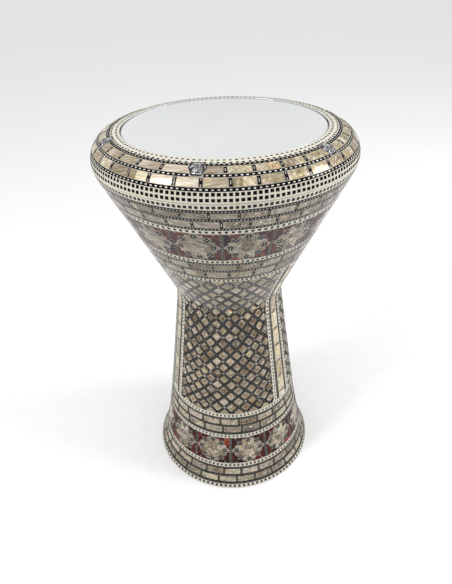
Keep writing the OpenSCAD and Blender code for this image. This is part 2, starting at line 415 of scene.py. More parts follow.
class Finish:
    """A material made of one Principled shader, with short ways to add nodes that drive it."""

    def __init__(self, name, **sockets):
        self.material = bpy.data.materials.new(name)
        self.material.use_nodes = True
        self.tree = self.material.node_tree
        self.shader = self.tree.nodes["Principled BSDF"]
        for socket, value in sockets.items():
            self.shader.inputs[socket.replace("_", " ")].default_value = value

    def node(self, kind, settings=None, **inputs):
        """A new node. Its inputs are numbers, vectors or outputs of other nodes."""
        made = self.tree.nodes.new("ShaderNode" + kind)
        for key, value in (settings or {}).items():
            setattr(made, key, value)
        for key, value in inputs.items():
            self.feed(made.inputs[key.replace("_", " ")], value)
        return made

    def feed(self, socket, value):
        if isinstance(value, bpy.types.NodeSocket):
            self.tree.links.new(value, socket)
        else:
            socket.default_value = value

    def drive(self, socket, value):
        self.feed(self.shader.inputs[socket], value)

    def flat(self, stretch_u=1.0, stretch_v=1.0):
        """Place on the unrolled surface in millimetres, apart for every tile."""
        place = self.node("Attribute", {"attribute_name": "flat"}).outputs["Vector"]
        scaled = self.node("VectorMath", {"operation": "MULTIPLY"})
        self.feed(scaled.inputs[0], place)
        self.feed(scaled.inputs[1], (stretch_u, stretch_v, 1.0))
        return scaled.outputs["Vector"]

    def tint(self, part):
        """One of the three random numbers of a tile: X, Y or Z."""
        split = self.node("SeparateXYZ")
        self.feed(split.inputs[0], self.node("Attribute", {"attribute_name": "tint"}).outputs["Vector"])
        return split.outputs[part]

    def local(self):
        return self.node("TexCoord").outputs["Object"]

    def noise(self, place, scale, detail=3.0, rough=0.5, twist=0.0):
        made = self.node("TexNoise", Vector=place, Scale=scale, Detail=detail, Roughness=rough,
                         Distortion=twist)
        return made.outputs["Fac"]

    def sums(self, operation, a, b, c=0.0):
        made = self.node("Math", {"operation": operation})
        for socket, value in zip(made.inputs, (a, b, c)):
            self.feed(socket, value)
        return made.outputs[0]

    def ramp(self, value, *stops):
        """A colour from a value. A stop is a position and a colour."""
        made = self.node("ValToRGB")
        self.feed(made.inputs[0], value)
        points = made.color_ramp.elements
        while len(points) < len(stops):
            points.new(1.0)
        for point, (position, colour) in zip(points, stops):
            point.position = position
            point.color = (*colour, 1.0)
        return made.outputs["Color"]

    def blend(self, kind, amount, a, b):
        made = self.node("Mix", {"data_type": "RGBA", "blend_type": kind})
        self.feed(made.inputs[0], amount)
        self.feed(made.inputs[6], a)
        self.feed(made.inputs[7], b)
        return made.outputs[2]

    def bump(self, height, strength, distance):
        made = self.node("Bump", Strength=strength, Distance=distance, Height=height)
        self.drive("Normal", made.outputs["Normal"])


LACQUER = {"Coat_Weight": 0.5, "Coat_Roughness": 0.08, "Coat_IOR": 1.5, "Roughness": 0.5,
           "Specular_IOR_Level": 0.05}


# Hues that tint mother-of-pearl, and the colours of its painted glints: bright flakes that stand in for
# light caught by the nacre
PEARL_HUES = ((0.2, (1.06, 0.91, 0.93)), (0.38, (1.0, 0.98, 0.96)), (0.53, (1.07, 0.97, 0.76)),
              (0.66, (0.92, 1.0, 0.94)))
AMBER = (1.25, 0.93, 0.60)
GLINT_HUES = ((0.2, (0.95, 0.76, 0.90)), (0.5, (0.96, 0.95, 0.90)), (0.8, (0.72, 0.94, 0.86)))


def grey(value):
    return value, value, value


def pearl(name, dark, middle, pale, amber=0.84):
    """Mother-of-pearl: cloudy chips, a hue for each tile, and painted glints, small bright flakes in the
    base colour.
    """
    finish = Finish(name, **LACQUER)
    finish.shader.inputs["Metallic"].default_value = 0.25
    finish.shader.inputs["Roughness"].default_value = 0.3
    place = finish.flat(1.15, 0.95)
    figure = finish.noise(place, 0.3, 3.0, 0.55, 0.8)
    tone = finish.sums("MULTIPLY_ADD", finish.tint("X"), 0.3, finish.sums("ADD", figure, -0.15))
    flakes = finish.node("TexVoronoi", Vector=place, Scale=0.55, Randomness=1.0).outputs["Color"]
    split = finish.node("SeparateXYZ", Vector=flakes)
    tone = finish.sums("MULTIPLY_ADD", split.outputs["Z"], 0.10, finish.sums("ADD", tone, -0.05))
    colour = finish.ramp(tone, (0.28, dark), (0.5, middle), (0.74, pale))
    drift = finish.sums("MULTIPLY_ADD", finish.noise(place, 0.24, 2.0), 1.5, finish.tint("Y"))
    hue = finish.ramp(finish.sums("MULTIPLY", drift, 0.42), *PEARL_HUES, (amber, AMBER))
    colour = finish.blend("MULTIPLY", 1.0, colour, hue)
    # Painted glints: the brightest few flake cells are mixed towards pale pink, white and green in the base
    # colour
    painted_glint = finish.ramp(split.outputs["X"], (0.90, grey(0.0)), (0.96, grey(1.0)))
    glint_fade = finish.ramp(finish.noise(place, 1.1, 2.0), (0.45, grey(0.0)), (0.58, grey(0.8)))
    glint_colour = finish.ramp(split.outputs["Y"], *GLINT_HUES)
    colour = finish.blend("MIX", finish.sums("MULTIPLY", painted_glint, glint_fade), colour, glint_colour)
    finish.drive("Base Color", colour)
    finish.bump(figure, 0.35, 0.0006)
    return finish.material


def mottled(name, low, high, scale, **sockets):
    """A plain inlay colour with the slight cloudiness of celluloid or horn."""
    finish = Finish(name, **{**LACQUER, **sockets})
    cloud = finish.noise(finish.flat(), scale, 4.0, 0.6, 0.6)
    tone = finish.sums("MULTIPLY_ADD", finish.tint("X"), 0.3, finish.sums("ADD", cloud, -0.15))
    finish.drive("Base Color", finish.ramp(tone, (0.3, low), (0.7, high)))
    return finish.material


def tortoiseshell(name, black, deep, bright, **sockets):
    """Dark red plates with flaming streaks, along some plates and across others."""
    finish = Finish(name, **{**LACQUER, **sockets})
    along = finish.noise(finish.flat(0.12, 0.7), 0.5, 4.0, 0.55, 0.6)
    upright = finish.noise(finish.flat(0.7, 0.12), 0.5, 4.0, 0.55, 0.6)
    is_upright = finish.sums("GREATER_THAN", finish.tint("Y"), 0.5)
    streaks = finish.blend("MIX", is_upright, along, upright)
    tone = finish.sums("MULTIPLY_ADD", finish.tint("X"), 0.22, finish.sums("ADD", streaks, -0.11))
    finish.drive("Base Color", finish.ramp(tone, (0.36, black), (0.56, deep), (0.80, bright)))
    return finish.material


def metal(name, colour, roughness, grain, strength):
    """Bare metal with a fine cast or turned grain."""
    finish = Finish(name, Metallic=1.0, Roughness=roughness)
    texture = finish.noise(finish.local(), grain, 5.0, 0.6)
    finish.drive("Base Color", finish.ramp(texture, (0.3, tuple(c * 0.86 for c in colour)), (0.7, colour)))
    finish.drive("Roughness", finish.sums("MULTIPLY_ADD", texture, 0.2, roughness - 0.1))
    finish.bump(texture, strength, 0.0003)
    return finish.material


def frame_finish():
    """Black on top, and bright metal where a bolt's hole passes through."""
    finish = Finish("bolt_frame", **LACQUER)
    black = finish.ramp(finish.noise(finish.local(), 200.0), (0.3, grey(0.004)), (0.7, grey(0.012)))
    upward = finish.node("SeparateXYZ", Vector=finish.node("TexCoord").outputs["Normal"]).outputs["Z"]
    is_top = finish.sums("GREATER_THAN", upward, 0.4)
    finish.drive("Base Color", finish.blend("MIX", is_top, (0.66, 0.66, 0.68, 1.0), black))
    return finish.material


def film_finish():
    """Coated polyester: smooth and milky, with a faint cloud where hands have polished it."""
    finish = Finish("film", Roughness=0.28, Specular_IOR_Level=0.45, Subsurface_Weight=0.1,
                    Subsurface_Scale=0.002)
    cloud = finish.noise(finish.local(), 5.0, 1.0, 0.5)
    finish.drive("Base Color", finish.ramp(cloud, (0.3, (0.53, 0.527, 0.53)), (0.7, (0.57, 0.567, 0.565))))
    finish.drive("Roughness", finish.sums("MULTIPLY_ADD", cloud, 0.12, 0.22))
    return finish.material


PEARL_RING = pearl("pearl_ring", (0.17, 0.135, 0.09), (0.38, 0.325, 0.24), (0.66, 0.61, 0.52))
PEARL_FOOT = pearl("pearl_foot", (0.075, 0.06, 0.04), (0.23, 0.195, 0.15), (0.50, 0.46, 0.39))
PEARL_BOWL = pearl("pearl_bowl", (0.085, 0.07, 0.053), (0.21, 0.182, 0.15), (0.40, 0.37, 0.33))
PEARL_LATTICE = pearl("pearl_lattice", (0.07, 0.05, 0.03), (0.21, 0.165, 0.11), (0.50, 0.44, 0.35),
                      amber=0.78)
# Lighter copy of the lattice pearl for the neck under the bowl: painted reflection of the floor
PEARL_PAINTED_SHEEN = pearl("pearl_overhang", (0.12, 0.10, 0.08), (0.28, 0.245, 0.20), (0.52, 0.475, 0.42))
CREAM = mottled("cream", (0.51, 0.48, 0.395), (0.61, 0.585, 0.50), 0.3)
BLACK, BLACK_BOWL = (mottled(name, (0.001, 0.001, 0.0012), (0.004, 0.0037, 0.004), 0.2,
                             Coat_Weight=coat, Specular_IOR_Level=0.0)
                     for name, coat in (("black", 0.18), ("black_bowl", 0.6)))
# Lighter copy of black for the neck under the bowl: painted reflection of the floor
BLACK_PAINTED_SHEEN = mottled("black_overhang", (0.012, 0.012, 0.014), (0.022, 0.022, 0.025), 0.2,
                         Coat_Weight=0.8)
WHITE = mottled("white", (0.50, 0.49, 0.45), (0.72, 0.72, 0.68), 0.5)
FILLER = mottled("filler", (0.28, 0.25, 0.205), (0.39, 0.36, 0.305), 0.35)
TORTOISE_FOOT = tortoiseshell("tortoise_foot", (0.008, 0.002, 0.003), (0.055, 0.007, 0.008),
                              (0.34, 0.06, 0.015), Coat_Weight=0.2)
TORTOISE_BOWL = tortoiseshell("tortoise_bowl", (0.018, 0.010, 0.012), (0.065, 0.020, 0.022),
                              (0.30, 0.09, 0.045))


# ---- rows and bands

# How far separators stray round the drum, in degrees
STRAY = 0.3

# Gap between pearl tiles and what is beside them, and the roughness of their edges
TILE_GAP = 0.45
TILE_ROUGH = 0.15


def wobble(amount):
    return random.uniform(-amount, amount)


def whole(tile):
    return [tile]


def edge_levels(bands):
    """(node, low, high) lengths of every band of a run, the strips filling the gaps."""
    levels = []
    for i, node in enumerate(bands):
        if node.endswith("strips"):
            low_z, high_z = node_levels(bands[i - 1])[1], node_levels(bands[i + 1])[0]
        else:
            low_z, high_z = node_levels(node)
        levels.append((node, *SHELL.band(low_z, high_z)))
    return levels


def small_tile(skin, u, v, width, height):
    """A little rectangle of a width and height in millimetres, laid by hand."""
    half_w, half_h = width / 2 + wobble(0.08), height / 2 + wobble(0.08)
    corners = turned(box(half_w, half_h), wobble(2.0))
    degree = skin.per_degree(v)
    return [(u + x / degree, v + y) for x, y in corners]


def row_of(layer, count, v, width, height, keep=whole):
    """A row of small tiles round the drum. keep gives what is left of a tile."""
    for i in range(count):
        u = (i + wobble(0.03)) * FULL_TURN / count
        tile = small_tile(layer.skin, u, v + wobble(0.12), width, height)
        for part in keep(tile):
            layer.solid([part])


def windows(u, v1, v2, kind, degree):
    """Light openings of a separator: a closed one, two open ones, a slot, or three dots."""
    half, height = 0.48 / degree, v2 - v1
    middle = (v1 + v2) / 2
    if kind == "closed":
        spans = [(middle - height * 0.22, middle + height * 0.22)]
    elif kind == "open":
        spans = [(v1 + 0.3, v1 + height * 0.3), (v2 - height * 0.3, v2 - 0.3)]
    elif kind == "slot":
        spans = [(v1 + 0.2, v2 - 0.2)]
    else:
        spans = [(middle + dot - 0.4, middle + dot + 0.4) for dot in (-2.6, 0, 2.6)]
    return [rectangle(u - half, u + half, a, b) for a, b in spans]


def separator(dark, light, u, middle, bar, kind):
    """An upright black bar between pearl tiles, with light openings in it."""
    degree = dark.skin.per_degree(middle)
    half_w, low, high = bar[0] / 2 / degree, middle - bar[1] / 2, middle + bar[1] / 2
    lean = wobble(0.12)
    upright = rectangle(u - half_w, u + half_w, low, high)
    dark.tile([(a + (lean if b > middle else -lean), b) for a, b in upright])
    for window in windows(u, low, high, kind, degree):
        light.tile(window)


def pearl_tile(a, b, v1, v2):
    """A tile of pearl from one azimuth to another, with uneven edges."""
    slant = wobble(0.2)
    low, high = v1 + TILE_GAP + wobble(TILE_ROUGH), v2 - TILE_GAP + wobble(TILE_ROUGH)
    end = b - 0.1
    return [(a, low), (end, low + wobble(TILE_ROUGH)),
            (end + slant, high + wobble(TILE_ROUGH)), (a + slant, high)]


def pearl_row(tiles, dark, light, v1, v2, separators, bar, kinds, keep=whole):
    """Pearl tiles between separators at given azimuths, which go once round the drum."""
    middle = (v1 + v2) / 2
    reach = (bar[0] / 2 + TILE_GAP) / tiles.skin.per_degree(middle)
    for u, following in zip(separators, separators[1:] + [separators[0] + FULL_TURN]):
        separator(dark, light, u, middle, bar, random.choice(kinds))
        left, right = u + reach, following - reach
        joints = [left, right]
        if random.random() < 0.55 and right - left > 6:
            joints.insert(1, left + (right - left) * random.uniform(0.3, 0.7))
        for a, b in zip(joints, joints[1:]):
            tile = pearl_tile(a, b, v1, v2)
            tint = (random.random(), random.random(), random.random())
            for part in keep(tile):
                tiles.tile(part, tint)


# ---- tension ring

BOLT_STEP = FULL_TURN / BOLT_COUNT
BOLT_AZIMUTHS = [BOLT_AZ + k * BOLT_STEP for k in range(BOLT_COUNT)]

# White dashes on the black strips: how many, width and height
RING_DASHES = {"ring_outer_strip": (171, 1.9, 1.1), "ring_middle_strip": (168, 1.9, 1.1),
               "ring_inner_strip": (172, 1.5, 0.7)}

# Separators of the outer row of pearl, and those of the inner row, in degrees from each bolt
OUTER_COUNT = 35
INNER_OFFSETS = (11.0, 22.3, 33.5, 44.9)


def ring_v(r):
    """The length along the ring at which it has a radius."""
    return float(np.interp(-r, -RING.r, RING.v))


def bolt_hole(grow):
    """The outline of the first bolt's frame on the unrolled ring, grown by an amount."""
    w, d = FRAME_HALF_W + grow, FRAME_HALF_D + grow
    corners = []
    for out, along in ((0, -w), (d, -w / 2), (d, w / 2), (0, w), (-d, w / 2), (-d, -w / 2)):
        u = BOLT_AZ + math.degrees(math.atan2(along, BOLT_CIRCLE_R + out))
        corners.append((u, ring_v(hypot(BOLT_CIRCLE_R + out, along))))
    return corners


def clear_of_bolts(tile):
    """What is left of a tile outside the frame of the nearest bolt."""
    u = sum(p[0] for p in tile) / len(tile)
    turn = round((u - BOLT_AZ) / BOLT_STEP) * BOLT_STEP
    return without(tile, moved(bolt_hole(0.25), turn, 0))


def frame_half_angle(v):
    """Half the angle that a bolt frame takes at a length along the ring, a little tucked in."""
    reach = abs(RING.radius(v) - BOLT_CIRCLE_R)
    if reach >= FRAME_HALF_D:
        return 0.0
    half = FRAME_HALF_W - 0.4 - reach * FRAME_HALF_W / 2 / FRAME_HALF_D
    return math.degrees(math.asin(half / RING.radius(v)))


def between_bolts(layer, v1, v2):
    """A band in pieces, each of which runs from one bolt frame to the next."""
    def half_angle(v):
        return frame_half_angle(min(max(v, v1 + 1e-4), v2 - 1e-4))

    for start in BOLT_AZIMUTHS:
        layer.ring(v1, v2, lambda v: start + half_angle(v), lambda v: start + BOLT_STEP - half_angle(v))


def cut_ring(layer, v1, v2):
    """A band round the ring that stops at the bolt frames."""
    reach = sorted(ring_v(BOLT_CIRCLE_R + side * FRAME_HALF_D) for side in (1, -1))
    levels = [v1] + [v for v in reach if v1 < v < v2] + [v2]
    for a, b in zip(levels, levels[1:]):
        if reach[0] <= (a + b) / 2 <= reach[1]:
            between_bolts(layer, a, b)
        else:
            layer.ring(a, b)


def ring_band(node):
    """Where a band of the ring shows. Its low edge is the top of the band before it."""
    i = RING_BANDS.index(node)
    low = node_levels(RING_BANDS[i - 1])[1] if i else node_levels(node)[0]
    return RING.band(low, node_levels(node)[1])


def ring_cream():
    """The cream bands at the ring's outer and inner edge, with two rows of black squares on each."""
    outer, inner = base(RING), base(RING)
    squares = Layer(RING, DOT_TOP)
    v1, v2 = ring_band("ring_square_band")
    outer.ring(v1, v2)
    outer.build("ring_square_band_cream", CREAM, "cream_celluloid", "ring_square_band")
    for up in (3.3, 8.1):
        row_of(squares, 174, v1 + up, width=3.15, height=2.9)
    v1, v2 = ring_band("ring_dot_band")
    for up in (1.6, 6.4):
        row_of(squares, 132, v1 + up, width=2.3, height=1.9, keep=clear_of_bolts)
    squares.build("ring_squares", BLACK, "black_strip")
    cut_ring(inner, v1, v2)
    inner.build("ring_dot_band_cream", CREAM, "cream_celluloid", "ring_dot_band")


def ring_strips():
    """The black strips with white dashes. Only the outer one is clear of the bolts."""
    dashes = Layer(RING, DOT_TOP)
    for node, (count, width, height) in RING_DASHES.items():
        v1, v2 = ring_band(node)
        strip = base(RING, PLATE_TOP)
        if node == "ring_outer_strip":
            strip.ring(v1, v2)
        else:
            cut_ring(strip, v1, v2)
        strip.build(node + "_black", BLACK, "black_strip", node)
        row_of(dashes, count, (v1 + v2) / 2, width, height, keep=clear_of_bolts)
    dashes.build("ring_dashes", WHITE, "black_strip")


def ring_pearl(number, dark, light, separators, bar, kinds, lay, keep=whole):
    """A row of pearl on the ring. lay makes its base, all round or cut at the bolts."""
    node = f"ring_pearl_row_{number}"
    tiles, filler = Layer(RING, TILE_TOP), base(RING)
    v1, v2 = ring_band(node)
    pearl_row(tiles, dark, light, v1, v2, separators, bar, kinds, keep)
    lay(filler, v1, v2)
    filler.build(node + "_filler", FILLER, "pearl", node)
    tiles.build(f"ring_pearl_tiles_{number}", PEARL_RING, "pearl")


def ring_patches():
    """Light filler over the middle strip beside each bolt."""
    patches = Layer(RING, TILE_TOP)
    v1, v2 = ring_band("ring_middle_strip")
    for u in BOLT_AZIMUTHS:
        for part in clear_of_bolts(rectangle(u - 2.7, u + 2.7, v1 - 0.2, v2 + 0.2)):
            patches.tile(part)
    patches.build("ring_bolt_patches", FILLER, "pearl")


def build_ring():
    ring_cream()
    ring_strips()
    dark, light = Layer(RING, RING_BAR_TOP), Layer(RING, DOT_TOP)
    separators = [2.1 + i * FULL_TURN / OUTER_COUNT + wobble(STRAY) for i in range(OUTER_COUNT)]
    kinds = ["closed", "open", "open", "slot"]
    ring_pearl(2, dark, light, separators, (3.2, 7.6), kinds, Layer.ring)
    separators = [u + offset + wobble(STRAY) for u in BOLT_AZIMUTHS for offset in INNER_OFFSETS]
    ring_pearl(1, dark, light, separators, (3.0, 6.9), ["closed"], cut_ring, clear_of_bolts)
    dark.build("ring_separators", BLACK, "black_strip")
    light.build("ring_separator_lights", FILLER, "pearl")
    ring_patches()


# ---- medallions

# A star before it is squeezed to fit round the drum: half its cell, distance and half diagonal of the
# mosaics, and radii of the tips and of the core
CELL_HALF_W = 23.65
MOSAIC_RING = 16.0
MOSAIC_CORNER = 4.6
STAR_TIP = 19.0
STAR_CORE = 7.5
STAR_POINTS = 8
STAR_STEP = FULL_TURN / STAR_POINTS

# Black bar between two medallions
SEPARATOR_W = 2.6


def polar(radius, degrees):
    return radius * cos(radians(degrees)), radius * sin(radians(degrees))


def mosaic_square():
    return moved(diamond(MOSAIC_CORNER, MOSAIC_CORNER), MOSAIC_RING, 0)


def star_point():
    """The plate between two mosaics, from the core of the star to its tip."""
    side = (MOSAIC_RING, MOSAIC_CORNER)
    other = turned([(MOSAIC_RING, -MOSAIC_CORNER)], STAR_STEP)[0]
    notch = MOSAIC_RING - MOSAIC_CORNER
    return [polar(STAR_CORE, 0), polar(notch, 0), side, polar(STAR_TIP, STAR_STEP / 2), other,
            polar(notch, STAR_STEP), polar(STAR_CORE, STAR_STEP)]


def field_plates(half_h):
    """The tortoiseshell plates of one quarter: (polygon, upright streaks)."""
    x, y = CELL_HALF_W - SEPARATOR_W / 2, half_h
    slope = MOSAIC_RING + MOSAIC_CORNER + 1.3
    square = (MOSAIC_RING + MOSAIC_CORNER) * cos(radians(STAR_STEP))
    shield = [(x, slope - x if slope > x else 0.0), (x, y), (x - 4.2, y),
              (square, square + 0.8), (square, slope - square)]
    edge = [(slope - square, square), (square + 0.6, square), (x - 4.8, y), (slope - y, y)]
    return [(shield, 0.9), (edge, 0.1)]


def star_place(v1, v2, count):
    """A function that lays polygons, drawn round a star's middle, on a band."""
    middle = (v1 + v2) / 2
    degree = SHELL.per_degree(middle)
    squeeze = radians(FULL_TURN / count) * SHELL.radius(middle) / (2 * CELL_HALF_W)

    def place(layer, polygon, u, tint=None):
        flat = [(u + x * squeeze / degree, middle + y) for x, y in polygon]
        flat = within(flat, rectangle(u - 60, u + 60, v1 + 0.1, v2 - 0.1))
        if flat:
            layer.tile(flat, tint)

    return place


def field(place, plates, u, half_h):
    """The tortoiseshell round a star, the same in each quarter."""
    for x_sign in (1, -1):
        for y_sign in (1, -1):
            for plate, upright in field_plates(half_h):
                tint = (random.random(), upright, random.random())
                place(plates, mirrored(inset(plate, 0.3), x_sign, y_sign), u, tint)


def star_and_mosaics(place, lines, star, dark, light, u):
    """Pearl points, the two halves of the core, and black mosaics with five light dots each."""
    hand = wobble(1.5)
    for i in range(STAR_POINTS):
        turn = STAR_STEP * i + hand
        point = turned(star_point(), turn)
        place(lines, inset(point, -0.55), u)
        place(star, inset(point, 0.12), u)
        square = turned(mosaic_square(), turn)
        place(lines, inset(square, -0.35), u)
        place(dark, inset(square, 0.1), u)
        for x, y in ((0, 0), (2.6, 0), (-2.6, 0), (0, 2.6), (0, -2.6)):
            dot = moved(diamond(0.65, 0.65), MOSAIC_RING + x, y)
            place(light, turned(dot, turn), u)
    core = [polar(STAR_CORE, STAR_STEP * i + hand) for i in range(STAR_POINTS)]
    lower, upper = cut(core, edge_side((-9, wobble(3)), (9, wobble(3))))
    place(lines, inset(core, -0.3), u)
    place(star, inset(lower, 0.08), u)
    place(star, inset(upper, 0.08), u)


def medallion_bar(bars, light, u, v1, v2):
    """The black bar between two medallions, with a column of white dots."""
    half = SEPARATOR_W / 2 / SHELL.per_degree((v1 + v2) / 2)
    bars.tile(rectangle(u - half, u + half, v1, v2))
    for v in np.linspace(v1 + 1.9, v2 - 1.9, 13).tolist():
        light.solid([small_tile(SHELL, u, v, 0.75, 0.8)])


def medallion_band(name, node, count, centre, tortoise, pearl_plates, black):
    """A band of eight-pointed stars with eight little mosaics each, set in tortoiseshell."""
    v1, v2 = SHELL.band(*node_levels(node))
    filler = base(SHELL)
    filler.ring(v1, v2)
    plates, lines, star = Layer(SHELL, PLATE_TOP), Layer(SHELL, LINE_TOP), Layer(SHELL, TILE_TOP)
    dark, light, bars = Layer(SHELL, MOSAIC_TOP), Layer(SHELL, DOT_TOP), Layer(SHELL, TILE_TOP)
    place = star_place(v1, v2, count)
    for k in range(count):
        u = centre + k * FULL_TURN / count
        field(place, plates, u, (v2 - v1) / 2 - 0.35)
        star_and_mosaics(place, lines, star, dark, light, u)
        medallion_bar(bars, light, u - FULL_TURN / count / 2, v1, v2)
    filler.build(name + "_lines_base", FILLER, "tortoiseshell", node)
    plates.build(name + "_tortoiseshell", tortoise, "tortoiseshell")
    lines.build(name + "_outlines", FILLER, "tortoiseshell")
    star.build(name + "_stars", pearl_plates, "pearl")
    dark.build(name + "_mosaics", black, "black_strip")
    bars.build(name + "_bars", black, "black_strip")
    light.build(name + "_dots", WHITE, "pearl")


# ---- bands of the foot and the bowl

# Black dots on the cream bands, from the bottom up: how many, width and height
DOTS = [(109, 3.0, 2.9), (109, 2.8, 2.8), (107, 2.5, 2.7), (104, 2.4, 2.7),
        (118, 2.3, 2.6), (133, 2.5, 2.7), (131, 2.8, 2.7), (174, 3.1, 2.9)]

# Separators of the rows of pearl, from the bottom up: how many, and the azimuth of the first
PEARL_ROWS = [(26, 1.5), (26, 5.5), (22, 7.5), (22, 5.2), (24, 0.8), (26, 5.5), (32, -2.0), (32, 5.0)]

# White dashes on the black strips: spacing, and width and height on the foot and on the bowl
DASH_PITCH = 3.2
FOOT_DASH = (0.8, 0.6)
BOWL_DASH = (1.0, 0.8)


def dot_band(node, v1, v2, dots):
    cream = base(SHELL)
    cream.ring(v1, v2)
    cream.build(node + "_cream", CREAM, "cream_celluloid", node)
    count, width, height = DOTS[int(node[-1]) - 1]
    row_of(dots, count, (v1 + v2) / 2, width, height)


def pearl_band(node, v1, v2, dark, light, finish, kinds):
    filler, tiles = base(SHELL), Layer(SHELL, TILE_TOP)
    filler.ring(v1, v2)
    count, start = PEARL_ROWS[int(node[-1]) - 1]
    separators = [start + i * FULL_TURN / count + wobble(STRAY) for i in range(count)]
    pearl_row(tiles, dark, light, v1, v2, separators, (2.8, v2 - v1 - 0.2), kinds)
    filler.build(node + "_filler", FILLER, "pearl", node)
    tiles.build(node + "_tiles", finish, "pearl")


def build_bands(bands, part, pearl_tiles, black, kinds, dash):
    """Every plain band of the foot or the bowl. A strips node is several rings."""
    dots, dashes = Layer(SHELL, DOT_TOP), Layer(SHELL, DOT_TOP)
    dark, light = Layer(SHELL, BAR_TOP), Layer(SHELL, DOT_TOP)
    strips = {}
    for node, v1, v2 in edge_levels(bands):
        if node.startswith("dot_band"):
            dot_band(node, v1, v2, dots)
        elif node.startswith("pearl_row"):
            pearl_band(node, v1, v2, dark, light, pearl_tiles, kinds)
        elif node.endswith("strips"):
            strip = strips.setdefault(node, base(SHELL, PLATE_TOP))
            strip.ring(v1, v2)
            middle = (v1 + v2) / 2
            row_of(dashes, round(math.tau * SHELL.radius(middle) / DASH_PITCH), middle, *dash)
    for node, strip in strips.items():
        strip.build(node + "_black", black, "black_strip", node)
    dots.build(part + "_dots", black, "black_strip")
    dashes.build(part + "_dashes", WHITE, "black_strip")
    dark.build(part + "_separators", black, "black_strip")
    light.build(part + "_separator_lights", FILLER, "pearl")


# ---- neck

PILLAR_STEP = FULL_TURN / PILLAR_COUNT

# A cell of the lattice, in degrees round the neck and millimetres along it, its strips and their dots
LATTICE_U = 12.7
LATTICE_V = 17.0
LATTICE_STRIP_W = 3.8
LATTICE_DOT_W, LATTICE_DOT_H = 0.56, 0.66

# Where the neck's normal is lower than this, under the bowl, its pearl and black are lighter copies: painted
# reflection of the floor
OVERHANG = 0.2

# Black rungs across a pillar: the first one, and their spacing
RUNG_FIRST = 9
RUNG_PITCH = 23.9

# Dashes and dots up the sides of a pillar: spacing, the first one, width and height
PILLAR_DASHES = (3.0, 1.5, 0.7, 1.0)
PILLAR_DOTS = (5.3, 2.6, 2.1, 2.5)


def upright_band(layer, u1, u2, v1, v2):
    """A base that covers the neck from one azimuth to another."""
    layer.ring(v1, v2, lambda v: u1, lambda v: u2, NECK_FACET_V)


def overhang_start(v1, v2):
    """The length along the neck from which it leans out under the bowl."""
    leaning = (SHELL.v > v1) & (SHELL.v < v2) & (SHELL.normal_z < -OVERHANG)
    return float(SHELL.v[leaning].min())


class Panel:
    """A panel of the neck. Diamonds and strips have a layer below the overhang and one above it, with
    lighter finishes as painted reflection of the floor.
    """

    def __init__(self, number):
        self.node = f"neck_panel_{number}"
        self.v1, self.v2 = SHELL.band(*node_levels(self.node))
        self.u1 = PILLAR_AZ + (number - 1) * PILLAR_STEP + PILLAR_DOT_A
        self.u2 = self.u1 + PILLAR_STEP - 2 * PILLAR_DOT_A
        self.overhang_v = overhang_start(self.v1, self.v2)
        self.window = rectangle(self.u1 + 0.3, self.u2 - 0.3, self.v1 + 0.3, self.v2 - 0.3)
        self.filler = base(SHELL)
        self.diamonds = Layer(SHELL, TILE_TOP), Layer(SHELL, TILE_TOP)
        self.strips = Layer(SHELL, LINE_TOP), Layer(SHELL, LINE_TOP)
        self.dots = [Layer(SHELL, DOT_TOP)] * 2

    def per_degree(self, v):
        """Millimetres in one degree, at the nearest length on the panel."""
        return SHELL.per_degree(min(max(v, self.v1), self.v2))

    def place(self, layers, polygon, u, v):
        """Lays a polygon that is drawn round a point, cut off at the edges of the panel."""
        degree = self.per_degree(v)
        flat = within([(u + x / degree, v + y) for x, y in polygon], self.window)
        if flat:
            layers[v >= self.overhang_v].tile(flat)

    def pearl(self, u, v, width):
        """A diamond of pearl, some of them made of two pieces."""
        whole_one = diamond(width * 0.31 + wobble(0.4), 4.9 + wobble(0.4))
        pieces = [turned(whole_one, wobble(3))]
        if random.random() < 0.3:
            pieces = cut(pieces[0], edge_side((-5, wobble(4)), (5, wobble(4))))
        for piece in pieces:
            self.place(self.diamonds, piece, u, v)

    def knot(self, u, v):
        """A black diamond with a white dot, where strips cross."""
        half = LATTICE_STRIP_W * 0.72
        self.place(self.strips, diamond(half, half), u, v)
        self.place(self.dots, diamond(0.5, 0.5), u, v)

    def strip(self, u, v, width, rise):
        """A dotted strip from a crossing to the next on the right, above (1) or below (-1)."""
        angle = math.degrees(math.atan2(rise * LATTICE_V / 2, width / 2))
        half = hypot(width / 2, LATTICE_V / 2) / 2 - 1.15 + wobble(0.35)
        bar = turned(box(half, LATTICE_STRIP_W / 2), angle + wobble(2))
        middle = (u + LATTICE_U / 4, v + rise * LATTICE_V / 4)
        self.place(self.strips, bar, *middle)
        for step in (-2.9, 0, 2.9):
            dot = moved(box(LATTICE_DOT_W / 2, LATTICE_DOT_H / 2), step + wobble(0.15), 0)
            self.place(self.dots, turned(dot, angle), *middle)

    def point(self, i, j):
        """A point of the lattice: the middle of a diamond, or a crossing of strips."""
        u = (self.u1 + self.u2) / 2 + i * LATTICE_U / 2 + wobble(0.45)
        v = (self.v1 + self.v2) / 2 + j * LATTICE_V / 2 + wobble(0.45)
        if not self.u1 - 8 < u < self.u2 + 8:
            return
        if not self.v1 - 10 < v < self.v2 + 10:
            return
        width = LATTICE_U * self.per_degree(v)
        if (i + j) % 2 == 0:
            self.pearl(u, v, width)
            return
        if random.random() < 0.62:
            self.knot(u, v)
        for rise in (1, -1):
            self.strip(u, v, width, rise)

    def build(self):
        self.filler.build(self.node + "_filler", FILLER, "lattice_pearl", self.node)
        low, high = self.diamonds
        low.build(self.node + "_diamonds", PEARL_LATTICE, "lattice_pearl")
        # Above the overhang, lighter pearl and black: painted reflection of the floor
        high.build(self.node + "_diamonds_overhang", PEARL_PAINTED_SHEEN, "lattice_pearl")
        low, high = self.strips
        low.build(self.node + "_strips", BLACK, "black_strip")
        high.build(self.node + "_strips_overhang", BLACK_PAINTED_SHEEN, "black_strip")
        self.dots[0].build(self.node + "_dots", WHITE, "lattice_pearl")


